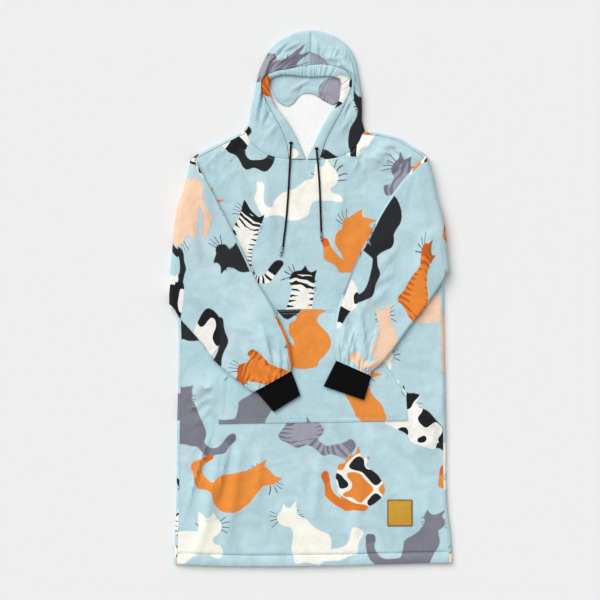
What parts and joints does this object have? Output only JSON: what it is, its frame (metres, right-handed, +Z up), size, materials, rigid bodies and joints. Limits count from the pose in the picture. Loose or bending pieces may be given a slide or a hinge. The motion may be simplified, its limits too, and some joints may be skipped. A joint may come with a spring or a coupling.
{
  "type": "hoodie",
  "caption": "Long oversized plush hoodie laid flat, sleeves folded in over the front, hood open face up, kangaroo pocket, ribbed cuffs, drawcords and a small patch.",
  "frame": {"origin": "on the surface that the hoodie lies on, below the middle of its outline", "axes": "+X to the wearer's left, +Y from the hem to the hood, +Z up out of the front"},
  "size_m": [0.6517, 1.2335, 0.0324],
  "materials": {
    "fleece": "soft printed plush fleece, matt with a slight sheen",
    "sherpa": "white sherpa pile",
    "rib": "black rib knit",
    "leather": "grained mustard leather",
    "cord": "black braided cord",
    "aglet": "brushed metal"
  },
  "bodies": {
    "root": {"back_panel": "fleece", "front_panel": "fleece", "pocket": "fleece", "sleeve_left": "fleece", "sleeve_right": "fleece", "cuff_left": "rib", "cuff_right": "rib", "hood_left": "fleece", "hood_right": "fleece", "hood_casing": "fleece", "hood_facing": "fleece", "hood_lining": "sherpa", "label_patch": "leather", "cord_left": "cord", "cord_right": "cord", "knot_left": "cord", "knot_right": "cord", "aglet_left": "aglet", "aglet_right": "aglet"}
  },
  "joints": []
}
